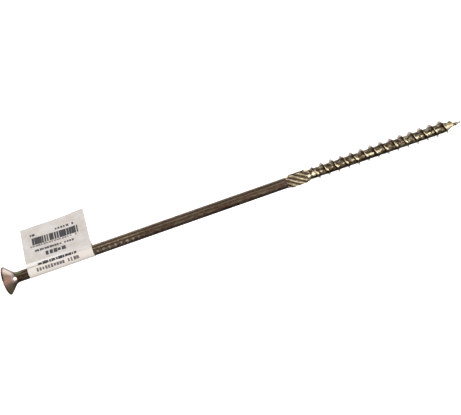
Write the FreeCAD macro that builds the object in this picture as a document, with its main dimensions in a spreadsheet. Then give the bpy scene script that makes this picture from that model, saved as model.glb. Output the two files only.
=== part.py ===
import FreeCAD, Part
import math
import os

import Sketcher
from FreeCAD import Placement, Rotation, Vector

# A long countersunk construction screw with a hexalobular drive, lying on its side with a paper label
# folded round its shank. The screw's axis runs along +X from the middle of the head's flat face to the
# point. Lengths are in millimetres and angles in degrees.
SIZES = (
    ("screw_length", 240, "head face to point"),
    ("head_dia", 14.5, "countersunk head"),
    ("head_rim", 0.8, "height of the land round the head"),
    ("head_angle", 90, "included angle of the countersink"),
    ("neck_radius", 5, "fillet from the head into the shank"),
    ("shank_dia", 5.4, "plain shank"),
    ("socket_tip_dia", 6.75, "across the socket's six lobes"),
    ("socket_flute_dia", 4.85, "across the flutes between the lobes"),
    ("socket_lobe_radius", 0.545, "radius of one lobe"),
    ("socket_depth", 3.2, "depth of the socket at its wall"),
    ("socket_floor_angle", 130, "included angle of the conical floor"),
    ("cutter_length", 12, "ribbed part between the shank and the thread"),
    ("cutter_core_dia", 5.8, "between the ribs"),
    ("cutter_dia", 6.8, "over the ribs"),
    ("cutter_shoulder", 0.8, "length of the slope at each end of the ribbed part"),
    ("cutter_lead", 30, "advance of one rib in a full turn"),
    ("rib_count", 8, "ribs round the cutter"),
    ("rib_base_width", 3.3, "one rib at its base, along the axis"),
    ("rib_top_width", 1.1, "one rib at its top, along the axis"),
    ("rib_rise", 2.2, "length over which a rib rises at each end"),
    ("thread_length", 80, "threaded part with the point"),
    ("thread_dia", 8, "over the thread"),
    ("thread_core_dia", 5, "under the thread"),
    ("thread_pitch", 5.2, "advance in one turn"),
    ("thread_base_width", 1.15, "thread at its base, along the axis"),
    ("thread_top_width", 0.16, "thread at its crest, along the axis"),
    ("thread_run_in", 3.2, "length over which the thread rises at its start"),
    ("thread_start_angle", 262, "where the thread starts, turned about the axis from +Y"),
    ("point_length", 9, "conical part with the needle"),
    ("needle_length", 4.6, "slender end of the point"),
    ("needle_dia", 2.2, "where the needle starts"),
    ("tip_dia", 0.3, "blunt end of the needle"),
    ("bare_tip", 1.3, "needle beyond the end of the thread"),
    ("root_sink", 0.15, "how deep the thread and the ribs are rooted in their core"),
    ("label_from_head", 11.6, "head face to the label"),
    ("label_width", 34.4, "label along the screw"),
    ("label_reach", 31.1, "axis to the far edge of the label, at its corner next to the thread"),
    ("label_slant", 0.9, "how much less far the corner next to the head reaches"),
    ("label_skew", 1.7, "how far the far edge leans towards the head"),
    ("label_fold", 5, "axis to where the two halves of the label meet"),
    ("label_clearance", 0.05, "shank to paper"),
    ("paper", 0.13, "thickness of the paper"),
)
POINTS_PER_TURN = 12

doc = FreeCAD.newDocument("construction_screw")
sheet = doc.addObject("Spreadsheet::Sheet", "sizes")
for row, (alias, value, meaning) in enumerate(SIZES, start=1):
    sheet.set(f"A{row}", alias)
    sheet.set(f"B{row}", str(value))
    sheet.set(f"C{row}", meaning)
    sheet.setAlias(f"B{row}", alias)
doc.recompute()


def origin_plane(body, role):
    return next(feature for feature in body.Origin.OriginFeatures if feature.Role == role)


def bind(sketch, kind, geometry, place, expression):
    """Dimension one point of the sketch from its origin by an expression."""
    index = sketch.addConstraint(Sketcher.Constraint(kind, -1, 1, geometry, place, 1.0))
    sketch.setExpression(f"Constraints[{index}]", expression)


def polygon(sketch, corners):
    """Close straight lines through corners given as (x, y) expressions.

    None stands for a corner that lies on that axis.
    """
    count = len(corners)
    for corner in range(count):
        first = Vector(corner, 1 + corner % 2, 0)
        last = Vector(corner + 1, 1 + (corner + 1) % 2, 0)
        sketch.addGeometry(Part.LineSegment(first, last), False)
    for corner in range(count):
        sketch.addConstraint(Sketcher.Constraint("Coincident", corner, 2, (corner + 1) % count, 1))
    for corner, (x_size, y_size) in enumerate(corners):
        if x_size is None:
            sketch.addConstraint(Sketcher.Constraint("PointOnObject", corner, 1, -2))
        else:
            bind(sketch, "DistanceX", corner, 1, x_size)
        if y_size is None:
            sketch.addConstraint(Sketcher.Constraint("PointOnObject", corner, 1, -1))
        else:
            bind(sketch, "DistanceY", corner, 1, y_size)


def new_sketch(body, name, role):
    sketch = body.newObject("Sketcher::SketchObject", name)
    sketch.AttachmentSupport = [(origin_plane(body, role), "")]
    sketch.MapMode = "FlatFace"
    return sketch


def screw_blank():
    """Head, shank, cutter core, thread core and point, turned as one piece before it is threaded."""
    body = doc.addObject("PartDesign::Body", "blank")
    sketch = new_sketch(body, "blank_profile", "XZ_Plane")
    thread_start = "sizes.screw_length - sizes.thread_length"
    cutter_start = f"{thread_start} - sizes.cutter_length"
    point_start = "sizes.screw_length - sizes.point_length"
    cone = "(sizes.head_dia - sizes.shank_dia) / 2 / tan(sizes.head_angle * 1 deg / 2)"
    polygon(
        sketch,
        [
            (None, None),
            (None, "sizes.head_dia / 2"),
            ("sizes.head_rim", "sizes.head_dia / 2"),
            (f"sizes.head_rim + {cone}", "sizes.shank_dia / 2"),
            (cutter_start, "sizes.shank_dia / 2"),
            (f"{cutter_start} + sizes.cutter_shoulder", "sizes.cutter_core_dia / 2"),
            (f"{thread_start} - sizes.cutter_shoulder", "sizes.cutter_core_dia / 2"),
            (thread_start, "sizes.thread_core_dia / 2"),
            (point_start, "sizes.thread_core_dia / 2"),
            ("sizes.screw_length - sizes.needle_length", "sizes.needle_dia / 2"),
            ("sizes.screw_length", "sizes.tip_dia / 2"),
            ("sizes.screw_length", None),
        ],
    )
    turned = body.newObject("PartDesign::Revolution", "turned_profile")
    turned.Profile = sketch
    turned.ReferenceAxis = (sketch, ["H_Axis"])
    turned.Angle = 360
    doc.recompute()
    cone_slope = math.tan(math.radians(sheet.head_angle / 2))
    neck_x = sheet.head_rim + (sheet.head_dia - sheet.shank_dia) / 2 / cone_slope
    neck = [
        f"Edge{number}"
        for number, edge in enumerate(turned.Shape.Edges, start=1)
        if abs(edge.BoundBox.XMin - neck_x) < 1e-4 and abs(edge.BoundBox.XMax - neck_x) < 1e-4
    ]
    fillet = body.newObject("PartDesign::Fillet", "neck_fillet")
    fillet.Base = (turned, neck)
    fillet.setExpression("Radius", "sizes.neck_radius")
    body.Tip = fillet
    return body


def polar(x, radius, angle):
    return Vector(x, radius * math.cos(angle), radius * math.sin(angle))


def socket_shape():
    """The space of the hexalobular socket: six lobes joined by six flutes, with a conical floor."""
    lobe_radius = sheet.socket_lobe_radius
    lobe_place = sheet.socket_tip_dia / 2 - lobe_radius
    flute_mid = sheet.socket_flute_dia / 2
    step = math.pi / 6
    apart = lobe_place**2 + flute_mid**2 - 2 * lobe_place * flute_mid * math.cos(step)
    flute_radius = (apart - lobe_radius**2) / (
        2 * (lobe_radius - flute_mid + lobe_place * math.cos(step))
    )
    joint_share = lobe_radius / (lobe_radius + flute_radius)
    edges = []
    for lobe in range(6):
        angle = 2 * step * lobe
        lobe_centre = polar(0, lobe_place, angle)
        joints = []
        for side in (-1, 1):
            flute_centre = polar(0, flute_mid + flute_radius, angle + side * step)
            joints.append(lobe_centre + (flute_centre - lobe_centre) * joint_share)
        next_joint = Rotation(Vector(1, 0, 0), math.degrees(2 * step)).multVec(joints[0])
        lobe_top = polar(0, sheet.socket_tip_dia / 2, angle)
        flute_top = polar(0, flute_mid, angle + step)
        edges.append(Part.Arc(joints[0], lobe_top, joints[1]).toShape())
        edges.append(Part.Arc(joints[1], flute_top, next_joint).toShape())
    radius = sheet.socket_tip_dia / 2
    depth = sheet.socket_depth
    floor = radius / math.tan(math.radians(sheet.socket_floor_angle / 2))
    prism = Part.Face(Part.Wire(edges)).extrude(Vector(depth + floor, 0, 0))
    inward = Vector(1, 0, 0)
    wall = Part.makeCylinder(radius, depth, Vector(0, 0, 0), inward)
    cone = Part.makeCone(radius, 0, floor, Vector(depth, 0, 0), inward)
    return prism.common(wall.fuse(cone))


def ruled_face(first, last):
    """The face swept by straight lines between two curves that share their knots."""
    poles = [first.getPoles(), last.getPoles()]
    knots = first.getKnots()
    surface = Part.BSplineSurface()
    surface.buildFromPolesMultsKnots(
        poles, [2, 2], first.getMultiplicities(), [0.0, 1.0], knots, False, False, 1, first.Degree
    )
    return surface.toShape()


def helical_ridge(lead, start_angle, breaks, section):
    """A solid ridge that winds right-handed about +X.

    section(x) gives the ridge's root radius, top radius, base width and top width at x. Its spans end at the
    breaks, where the section's law changes, and no span is longer than one turn.
    """
    places = []
    for begin, end in zip(breaks, breaks[1:]):
        spans = math.ceil((end - begin) / lead - 1e-9)
        cuts = [begin + (end - begin) * k / spans for k in range(spans + 1)]
        places += list(zip(cuts, cuts[1:]))

    def corners(x):
        root_radius, top_radius, base_width, top_width = section(x)
        angle = math.radians(start_angle) + 2 * math.pi * (x - breaks[0]) / lead
        return [
            polar(x - base_width / 2, root_radius, angle),
            polar(x - top_width / 2, top_radius, angle),
            polar(x + top_width / 2, top_radius, angle),
            polar(x + base_width / 2, root_radius, angle),
        ]

    faces = []
    for begin, end in places:
        steps = max(3, math.ceil(POINTS_PER_TURN * (end - begin) / lead))
        rows = [corners(begin + (end - begin) * k / steps) for k in range(steps + 1)]
        curves = []
        for points in zip(*rows):
            curve = Part.BSplineCurve()
            curve.interpolate(Points=list(points), Parameters=[float(k) for k in range(steps + 1)])
            curves.append(curve)
        faces += [ruled_face(curves[k], curves[(k + 1) % 4]) for k in range(4)]
    for x in (breaks[0], breaks[-1]):
        ring = corners(x)
        faces.append(Part.Face(Part.makePolygon(ring + ring[:1])))
    shell = Part.makeShell(faces)
    shell.sewShape()
    ridge = Part.makeSolid(shell)
    if ridge.Volume < 0:
        ridge.reverse()
    return ridge


def between(x, x_first, first, x_last, last):
    """Straight-line value at x, level before x_first and past x_last."""
    share = min(max((x - x_first) / (x_last - x_first), 0), 1)
    return first + (last - first) * share


def cutter_rib_shapes():
    """Steep ribs that ream the hole for the shank, rising from the cutter core and falling back into it."""
    end = sheet.screw_length - sheet.thread_length
    start = end - sheet.cutter_length
    middle = (start + end) / 2
    low = min(sheet.shank_dia, sheet.thread_core_dia) / 2 - sheet.root_sink

    def section(x):
        edge = start if x < middle else end
        inner = start + sheet.rib_rise if x < middle else end - sheet.rib_rise
        top = between(abs(x - edge), 0, low + sheet.root_sink / 2, abs(inner - edge), sheet.cutter_dia / 2)
        return low, top, sheet.rib_base_width, sheet.rib_top_width

    breaks = (start, start + sheet.rib_rise, end - sheet.rib_rise, end)
    rib = helical_ridge(sheet.cutter_lead, 0, breaks, section)
    turns = [360 * k / sheet.rib_count for k in range(int(sheet.rib_count))]
    return [rib.rotated(Vector(0, 0, 0), Vector(1, 0, 0), turn) for turn in turns]


def thread_shape():
    """The thread, rising out of the core at its start and tapering with the point at its end."""
    start = sheet.screw_length - sheet.thread_length
    taper = sheet.screw_length - sheet.point_length
    needle = sheet.screw_length - sheet.needle_length
    end = sheet.screw_length - sheet.bare_tip
    core = sheet.thread_core_dia / 2
    crest_radius = sheet.thread_dia / 2
    needle_radius = sheet.needle_dia / 2
    tip = sheet.tip_dia / 2
    end_core = between(end, needle, needle_radius, sheet.screw_length, tip)

    def section(x):
        if x < needle:
            surface = between(x, taper, core, needle, needle_radius)
        else:
            surface = between(x, needle, needle_radius, sheet.screw_length, tip)
        root = max(surface - sheet.root_sink, surface / 2)
        if x < taper:
            low = core - sheet.root_sink / 2
            crest = between(x, start, low, start + sheet.thread_run_in, crest_radius)
        else:
            crest = between(x, taper, crest_radius, end, end_core * 0.9)
        height = (crest - root) / (crest_radius - core + sheet.root_sink)
        base = sheet.thread_top_width + (sheet.thread_base_width - sheet.thread_top_width) * height
        return root, crest, base, sheet.thread_top_width

    breaks = (start, start + sheet.thread_run_in, taper, needle, end)
    return helical_ridge(sheet.thread_pitch, sheet.thread_start_angle, breaks, section)


def add_shape(name, shape):
    feature = doc.addObject("Part::Feature", name)
    feature.Shape = shape
    return feature


def make_screw():
    blank = screw_blank()
    shapes = enumerate(cutter_rib_shapes(), start=1)
    ribs = [add_shape(f"cutter_rib_{number}", rib) for number, rib in shapes]
    ridged = doc.addObject("Part::MultiFuse", "ridged_blank")
    ridged.Shapes = [blank, add_shape("thread", thread_shape())] + ribs
    ridged.Refine = False
    screw = doc.addObject("Part::Cut", "screw")
    screw.Base = ridged
    screw.Tool = add_shape("drive_socket", socket_shape())
    screw.Refine = False
    return screw


def paper_loop(sketch, radius, radius_size, fold, fold_size, drop, drop_size):
    """A ring round the axis that leaves its top level and meets its other side at the fold, drop lower."""
    top_end = Vector(fold, radius, 0)
    meeting = Vector(fold, radius - drop, 0)
    leave = math.atan2(meeting.y, meeting.x) - math.acos(radius / math.hypot(meeting.x, meeting.y))
    touch = Vector(radius * math.cos(leave), radius * math.sin(leave), 0)
    circle = Part.Circle(Vector(0, 0, 0), Vector(0, 0, 1), radius)
    arc = sketch.addGeometry(Part.ArcOfCircle(circle, math.pi / 2, 2 * math.pi + leave), False)
    above = sketch.addGeometry(Part.LineSegment(top_end, Vector(0, radius, 0)), False)
    below = sketch.addGeometry(Part.LineSegment(touch, meeting), False)
    sketch.addConstraint(Sketcher.Constraint("Coincident", arc, 3, -1, 1))
    sketch.addConstraint(Sketcher.Constraint("Tangent", above, 2, arc, 1))
    sketch.addConstraint(Sketcher.Constraint("Horizontal", above))
    sketch.addConstraint(Sketcher.Constraint("Tangent", arc, 2, below, 1))
    index = sketch.addConstraint(Sketcher.Constraint("Radius", arc, radius))
    sketch.setExpression(f"Constraints[{index}]", radius_size)
    bind(sketch, "DistanceX", above, 1, fold_size)
    if drop == 0:
        sketch.addConstraint(Sketcher.Constraint("Coincident", below, 2, above, 1))
        return
    end = sketch.addGeometry(Part.LineSegment(meeting, top_end), False)
    sketch.addConstraint(Sketcher.Constraint("Coincident", below, 2, end, 1))
    sketch.addConstraint(Sketcher.Constraint("Coincident", end, 2, above, 1))
    sketch.addConstraint(Sketcher.Constraint("Vertical", end))
    bind(sketch, "DistanceY", below, 2, f"{radius_size} - {drop_size}")


def make_label():
    """One strip of paper, laid round the shank and stuck to itself as a flag."""
    body = doc.addObject("PartDesign::Body", "label")
    inner = sheet.shank_dia / 2 + sheet.label_clearance
    inner_size = "sizes.shank_dia / 2 + sizes.label_clearance"
    outer_size = f"{inner_size} + sizes.paper"
    fold = sheet.label_fold
    loop = new_sketch(body, "loop_section", "YZ_Plane")
    loop.setExpression("AttachmentOffset.Base.z", "sizes.label_from_head")
    paper_loop(
        loop, inner + sheet.paper, outer_size, fold, "sizes.label_fold", 2 * sheet.paper, "2 * sizes.paper"
    )
    paper_loop(loop, inner, inner_size, fold - sheet.paper, "sizes.label_fold - sizes.paper", 0, "")
    wrap = body.newObject("PartDesign::Pad", "wrap")
    wrap.Profile = loop
    wrap.setExpression("Length", "sizes.label_width")
    flag_outline = new_sketch(body, "flag_outline", "XY_Plane")
    flag_outline.setExpression("AttachmentOffset.Base.z", f"{inner_size} - sizes.paper")
    label_start = "sizes.label_from_head"
    label_end = "sizes.label_from_head + sizes.label_width"
    polygon(
        flag_outline,
        [
            (label_start, "sizes.label_fold"),
            (label_end, "sizes.label_fold"),
            (f"{label_end} - sizes.label_skew", "sizes.label_reach"),
            (f"{label_start} - sizes.label_skew", "sizes.label_reach - sizes.label_slant"),
        ],
    )
    flag = body.newObject("PartDesign::Pad", "flag")
    flag.Profile = flag_outline
    flag.setExpression("Length", "2 * sizes.paper")
    body.Tip = flag
    return body


screw = make_screw()
label = make_label()
doc.recompute()

# The screw rests on the rim of its head and on the thread, so its point hangs lower than its head. The
# flag slopes down until the corner of its far edge next to the thread reaches the same surface.
between_rests = sheet.screw_length - sheet.point_length - sheet.head_rim
rise = (sheet.head_dia - sheet.thread_dia) / 2 / between_rests
corner_x = sheet.label_from_head + sheet.label_width - sheet.label_skew
axis_height = sheet.head_dia / 2 - (corner_x - sheet.head_rim) * rise
under = sheet.shank_dia / 2 + sheet.label_clearance - sheet.paper
corner_far = math.hypot(sheet.label_reach, under)
slope = math.degrees(math.asin(axis_height / corner_far) + math.atan2(under, sheet.label_reach))
tilt = Rotation(Vector(0, 1, 0), math.degrees(math.atan(rise)))
at_rest = Placement(Vector(0, 0, 0), tilt)
sloped = Placement(Vector(0, 0, 0), Rotation(Vector(1, 0, 0), -slope))
screw.Placement = at_rest
label.Placement = at_rest.multiply(sloped)
doc.recompute()

for obj in doc.Objects:
    if "Invalid" in obj.State or "Error" in obj.State:
        raise RuntimeError(f"{obj.Label} failed: {obj.State}")
for node in (screw, label):
    if node.Shape.isNull() or not node.Shape.isValid():
        raise RuntimeError(f"{node.Label} has no valid shape")
    if len(node.Shape.Solids) != 1:
        raise RuntimeError(f"{node.Label} isn't one solid")

os.makedirs("parts", exist_ok=True)
for node in (screw, label):
    node.Shape.exportStep(f"parts/{node.Label}.step")
    print(f"{node.Label}: {node.Shape.Volume:.1f} mm3, {node.Shape.BoundBox}")
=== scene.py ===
import logging
from collections.abc import Callable
from dataclasses import dataclass
from enum import Enum
from functools import reduce
from math import acos, atan2, ceil, copysign, cos, dist, hypot, pi, radians, sin, sqrt, tan

import bpy
from mathutils import Matrix, Vector


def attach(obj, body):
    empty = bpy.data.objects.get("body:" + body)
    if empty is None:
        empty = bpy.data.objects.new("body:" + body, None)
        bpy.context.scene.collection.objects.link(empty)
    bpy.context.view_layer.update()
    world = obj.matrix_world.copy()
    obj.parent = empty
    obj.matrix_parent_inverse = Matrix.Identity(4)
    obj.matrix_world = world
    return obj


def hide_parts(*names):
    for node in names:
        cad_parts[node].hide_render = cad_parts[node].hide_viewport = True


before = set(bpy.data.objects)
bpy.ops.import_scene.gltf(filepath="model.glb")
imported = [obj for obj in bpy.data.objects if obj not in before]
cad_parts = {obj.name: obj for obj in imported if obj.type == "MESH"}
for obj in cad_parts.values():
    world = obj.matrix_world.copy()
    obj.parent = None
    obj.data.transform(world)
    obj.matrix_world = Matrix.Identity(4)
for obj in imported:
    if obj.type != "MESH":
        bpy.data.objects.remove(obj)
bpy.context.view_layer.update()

log = logging.getLogger("screw")

MM = 0.001
TAU = 2 * pi
COLUMNS = 96
WHITE = (1.0, 1.0, 1.0, 1.0)

Colour = tuple[float, float, float, float]
Point = tuple[float, float, float]
Curve = tuple[tuple[float, float], ...]
# Where a ramp starts and ends and, unless they are 0 and 1, its values there.
Span = tuple[float, ...]
Tree = bpy.types.NodeTree


class Mark(Enum):
    """What a printed row on the label is made of."""

    DASHES = "dashes"
    STRIPES = "stripes"


class Builder:
    """A node tree that is written call by call."""

    def __init__(self, tree: Tree) -> None:
        """Keeps an empty node tree."""
        self.tree = tree

    def node(self, kind: str, inputs: dict | None = None, **settings: object) -> bpy.types.Node:
        """Adds a node.

        Args:
            kind: The node's type.
            inputs: A constant or a wire for each input, by its name or number.
            settings: The node's own properties.

        Returns:
            The new node.
        """
        made = self.tree.nodes.new(kind)
        for name, value in settings.items():
            setattr(made, name, value)
        for key, value in (inputs or {}).items():
            if isinstance(value, Wire):
                self.tree.links.new(value.socket, made.inputs[key])
            else:
                made.inputs[key].default_value = value
        return made

    def wire(self, kind: str, inputs: dict | None = None, output: int | str = 0, **settings: object) -> "Wire":
        """Adds a node and returns the wire from one of its outputs."""
        return Wire(self, self.node(kind, inputs, **settings).outputs[output])

    def joined(self, *parts: object) -> "Wire":
        """Returns the vector that has these parts."""
        return self.wire("ShaderNodeCombineXYZ", dict(enumerate(parts)))

    def surface(self, height: "Wire", strength: float, distance: float, values: dict) -> None:
        """Ends a material with a Principled shader that has these values and a fine height."""
        bump = self.wire("ShaderNodeBump", {"Strength": strength, "Distance": distance, "Height": height})
        shader = self.wire("ShaderNodeBsdfPrincipled", values | {"Normal": bump})
        self.node("ShaderNodeOutputMaterial", {"Surface": shader})


def operation(name: str) -> Callable[..., "Wire"]:
    """Returns a method of a wire that adds one Math node."""
    return lambda wire, *others: wire.math(name, *others)


@dataclass(frozen=True)
class Wire:
    """What a node gives. Arithmetic on it, with numbers or other wires, adds the nodes that work it out."""

    build: Builder
    socket: bpy.types.NodeSocket

    __add__, __sub__, __mul__, __truediv__ = map(operation, ("ADD", "SUBTRACT", "MULTIPLY", "DIVIDE"))
    __lt__, __gt__, __abs__ = map(operation, ("LESS_THAN", "GREATER_THAN", "ABSOLUTE"))

    def math(self, name: str, *values: object, clamp: bool = False) -> "Wire":
        """Returns the result of one Math node."""
        return self.build.wire("ShaderNodeMath", dict(enumerate((self, *values))), operation=name, use_clamp=clamp)

    def inverse(self) -> "Wire":
        """Returns what is left of 1."""
        return self * -1.0 + 1.0

    def stretched(self, x: float) -> "Wire":
        """Returns this place with its part along X multiplied."""
        return self.build.wire("ShaderNodeVectorMath", {0: self, 1: (x, 1.0, 1.0)}, operation="MULTIPLY")

    def measure(self, name: str, *values: object) -> "Wire":
        """Returns the number that one Vector Math node finds, such as a distance."""
        return self.build.wire("ShaderNodeVectorMath", dict(enumerate((self, *values))), 1, operation=name)

    def parts(self) -> list["Wire"]:
        """Returns the three parts of this vector."""
        return [Wire(self.build, part) for part in self.build.node("ShaderNodeSeparateXYZ", {0: self}).outputs]

    def ramp(self, low: object, high: object, to_low: object = 0.0, to_high: object = 1.0,
             smooth: bool = False) -> "Wire":
        """Maps this value from one range to another, with eased ends if smooth, and holds it at both ends."""
        inputs = dict(enumerate((self, low, high, to_low, to_high)))
        kind = "SMOOTHSTEP" if smooth else "LINEAR"
        return self.build.wire("ShaderNodeMapRange", inputs, interpolation_type=kind, clamp=True)

    def near(self, middle: float, full: float, end: float, amount: float = 1.0, smooth: bool = False) -> "Wire":
        """Returns a mask that begins to fade at one distance from the middle and ends at another."""
        return abs(self - middle).ramp(full, end, amount, 0.0, smooth)

    def noise(self, scale: object, detail: float = 3.0, rough: float = 0.55) -> "Wire":
        """Returns a noise value about 0.5 at this place."""
        inputs = {"Vector": self, "Scale": scale, "Detail": detail, "Roughness": rough}
        return self.build.wire("ShaderNodeTexNoise", inputs)

    def mix(self, first: object, second: object) -> "Wire":
        """Returns a mix of two colours, by this amount."""
        return self.build.wire("ShaderNodeMix", {0: self, 6: first, 7: second}, 2, data_type="RGBA")

    def under(self, *coats: tuple[object, "Wire"]) -> "Wire":
        """Returns this colour with others laid over it in turn, each by its own amount."""
        return reduce(lambda tone, coat: coat[1].mix(tone, coat[0]), coats, self)

    def through(self, tree: Tree, **values: object) -> "Wire":
        """Returns what a shared shader group makes of this place, with its other inputs by name."""
        inputs = {"Place": self} | {name.capitalize(): value for name, value in values.items()}
        return self.build.wire("ShaderNodeGroup", inputs, node_tree=tree)


def new_group(name: str, inputs: dict[str, object], output: str = "NodeSocketFloat",
              kind: str = "ShaderNodeTree") -> tuple[Builder, list[Wire]]:
    """Starts a node group with named inputs and one output.

    Args:
        name: The group's name.
        inputs: Each input's number, or the type of its socket, by name.
        output: The type of the output's socket.
        kind: The type of tree.

    Returns:
        The group's builder and a wire from each input.
    """
    tree = bpy.data.node_groups.new(name, kind)
    for label, value in inputs.items():
        typed = isinstance(value, str)
        socket = tree.interface.new_socket(label, in_out="INPUT", socket_type=value if typed else "NodeSocketFloat")
        if not typed:
            socket.default_value = value
    tree.interface.new_socket("Result", in_out="OUTPUT", socket_type=output)
    build = Builder(tree)
    given = build.node("NodeGroupInput").outputs
    return build, [Wire(build, given[label]) for label in inputs]


def new_material(name: str) -> tuple[bpy.types.Material, Builder]:
    """Starts a material.

    Args:
        name: The material's name.

    Returns:
        The material, with an empty node tree, and its builder.
    """
    made = bpy.data.materials.new(name)
    made.use_nodes = True
    made.node_tree.nodes.clear()
    return made, Builder(made.node_tree)


def linked(name: str, data: bpy.types.ID) -> bpy.types.Object:
    """Makes an object and links it to the scene.

    Args:
        name: The object's name.
        data: Its mesh, light or camera.

    Returns:
        The object.
    """
    made = bpy.data.objects.new(name, data)
    bpy.context.scene.collection.objects.link(made)
    return made


def plain_mesh(name: str, source: bpy.types.Object, place: Matrix) -> bpy.types.Object:
    """Applies an object's modifiers and gives the result its place.

    Args:
        name: The new piece's name.
        source: The object with live modifiers, which is removed.
        place: Where its mesh goes in the row frame.

    Returns:
        The finished piece, at the origin.
    """
    bpy.context.view_layer.update()
    shape = source.evaluated_get(bpy.context.evaluated_depsgraph_get())
    mesh = bpy.data.meshes.new_from_object(shape)
    mesh.name = name
    mesh.transform(place)
    mesh.update()
    old = source.data
    bpy.data.objects.remove(source)
    bpy.data.meshes.remove(old)
    return linked(name, mesh)


def spun(x: float, radius: float, angle: float) -> Vector:
    """Returns the point at an angle about +X, counted from +Y towards +Z."""
    return Vector((x, radius * cos(angle), radius * sin(angle)))


def eased(points: Curve, x: float) -> float:
    """Reads a smooth curve through points that never overshoots them.

    Args:
        points: The curve's points, in order.
        x: Where it is read.

    Returns:
        The curve's height.
    """
    steps = list(zip(points, points[1:]))
    slopes = [(b[1] - a[1]) / (b[0] - a[0]) for a, b in steps]
    bends = [slopes[0]]
    for a, b in zip(slopes, slopes[1:]):
        bends.append(0.0 if a * b <= 0 else 2 * a * b / (a + b))
    bends.append(slopes[-1])
    k = next((k for k, (_, b) in enumerate(steps) if x <= b[0]), len(steps) - 1)
    a, b = steps[k]
    span = b[0] - a[0]
    t = min(max((x - a[0]) / span, 0.0), 1.0)
    return (
        (2 * t**3 - 3 * t**2 + 1) * a[1]
        + (t**3 - 2 * t**2 + t) * span * bends[k]
        + (3 * t**2 - 2 * t**3) * b[1]
        + (t**3 - t**2) * span * bends[k + 1]
    )


@dataclass(frozen=True)
class Rest:
    """How the screw and its label lie: on the rim of the head and on the thread, with the flag sloping down."""

    rise: float = 3.25
    run: float = 230.2
    flag_slope: float = radians(17.079)

    def screw(self) -> Matrix:
        """Returns the placement of the screw's own millimetre frame."""
        return Matrix.Scale(MM, 4) @ Matrix.Rotation(atan2(self.rise, self.run), 4, "Y")

    def label(self) -> Matrix:
        """Returns the placement of the label's own millimetre frame."""
        return self.screw() @ Matrix.Rotation(-self.flag_slope, 4, "X")


def mottle_group() -> Tree:
    """Makes the slow change of tone that both the plating and the paper show.

    Returns:
        The shader group.
    """
    fine_ratio, fine_share = 4.3, 0.5
    build, (place, scale, contrast) = new_group("mottle", {"Place": "NodeSocketVector", "Scale": 1.0, "Contrast": 1.0})
    both = (place.noise(scale * fine_ratio, 4.0) - 0.5) * fine_share + place.noise(scale, 2.0)
    build.node("NodeGroupOutput", {0: ((both - 0.5) * contrast).math("ADD", 0.5, clamp=True)})
    return build.tree


def grain_group() -> Tree:
    """Makes the fine height of a surface, from two sizes of grain.

    Returns:
        The shader group.
    """
    coarse_ratio = 0.22
    build, (place, scale, coarse) = new_group("grain", {"Place": "NodeSocketVector", "Scale": 1.0, "Coarse": 0.5})
    build.node("NodeGroupOutput", {0: place.noise(scale * coarse_ratio, 2.0) * coarse + place.noise(scale, 5.0, 0.65)})
    return build.tree


def streak_group() -> Tree:
    """Makes the lengthwise lines that drawing leaves on the wire.

    Returns:
        The shader group.
    """
    wide_ratio, thin_share = 0.33, 0.6
    inputs = {"Place": "NodeSocketVector", "Fineness": 1.0, "Reach": 0.03}
    build, (place, fineness, reach) = new_group("drawn streaks", inputs)
    x, y, z = place.parts()
    drawn = build.joined(x * reach, y, z)
    both = drawn.noise(fineness, 3.0, 0.7) * thin_share + drawn.noise(fineness * wide_ratio, 1.0) * (1 - thin_share)
    build.node("NodeGroupOutput", {0: both.ramp(0.38, 0.62)})
    return build.tree


def printed_row_group(mark: Mark) -> Tree:
    """Makes one row of plain printed marks, with no letter or number in it.

    Args:
        mark: What the row is made of.

    Returns:
        The shader group. Its place is in millimetres: across the strip, and from the fold towards the far edge.
    """
    seed_step, narrowest, width_range, lowest = 17.3, 0.6, 0.7, 0.65
    build, (place, start, end, centre, height, pitch, fill, gaps, seed) = new_group(f"printed {mark.value}", {
        "Place": "NodeSocketVector", "Start": 0.0, "End": 0.0, "Centre": 0.0, "Height": 0.0, "Pitch": 1.0,
        "Fill": 0.7, "Gaps": 0.1, "Seed": 0.0,
    })
    across, outward, _ = place.parts()
    cells = (across - start) / pitch
    key = cells.math("FLOOR") + seed * seed_step
    chance = build.node("ShaderNodeTexWhiteNoise", {"W": key}, noise_dimensions="1D").outputs
    width = fill * (Wire(build, chance["Value"]) * width_range + narrowest)
    kept, taller, _ = build.node("ShaderNodeSeparateColor", {0: Wire(build, chance["Color"])}).outputs
    half = height * 0.5
    if mark is Mark.DASHES:
        half = half * (Wire(build, taller) * (1 - lowest) + lowest)
    inked = (cells.math("FRACT") < width) * (Wire(build, kept) > gaps)
    mask = inked * (abs(outward - centre) < half) * (across > start) * (across < end)
    build.node("NodeGroupOutput", {0: mask})
    return build.tree


@dataclass(frozen=True)
class Spot:
    """A soft round spot: its middle, how far from it the spot starts to fade and ends, and its strength."""

    middle: Point
    full: float
    end: float
    amount: float = 1.0

    def mask(self, place: Wire) -> Wire:
        """Returns the spot's mask."""
        return place.measure("DISTANCE", self.middle).ramp(self.full, self.end, self.amount, 0.0, smooth=True)


@dataclass(frozen=True)
class Band:
    """A soft band of painted light along the shank, dark for painted shade and pale for a painted highlight: how far
    it is towards the screw's back, its width, its strength and colour.
    """

    high: float
    width: float
    amount: float
    colour: Colour


@dataclass(frozen=True)
class Reading:
    """What the plating reads at each point, in the screw's own millimetre frame."""

    place: Wire  # where the point was before the ribs and the thread were raised
    along: Wire  # from the head's face
    high: Wire  # towards the screw's back
    upper: Wire  # towards the side that the picture shows
    crest: Wire  # how high the ridge is there, as a share of its full height
    side: Wire  # past the ridge's middle
    small: Wire  # the fine mottle
    patch: Wire  # the broad mottle of what was cut and rolled
    lines: Wire  # the streaks along the screw


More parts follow.
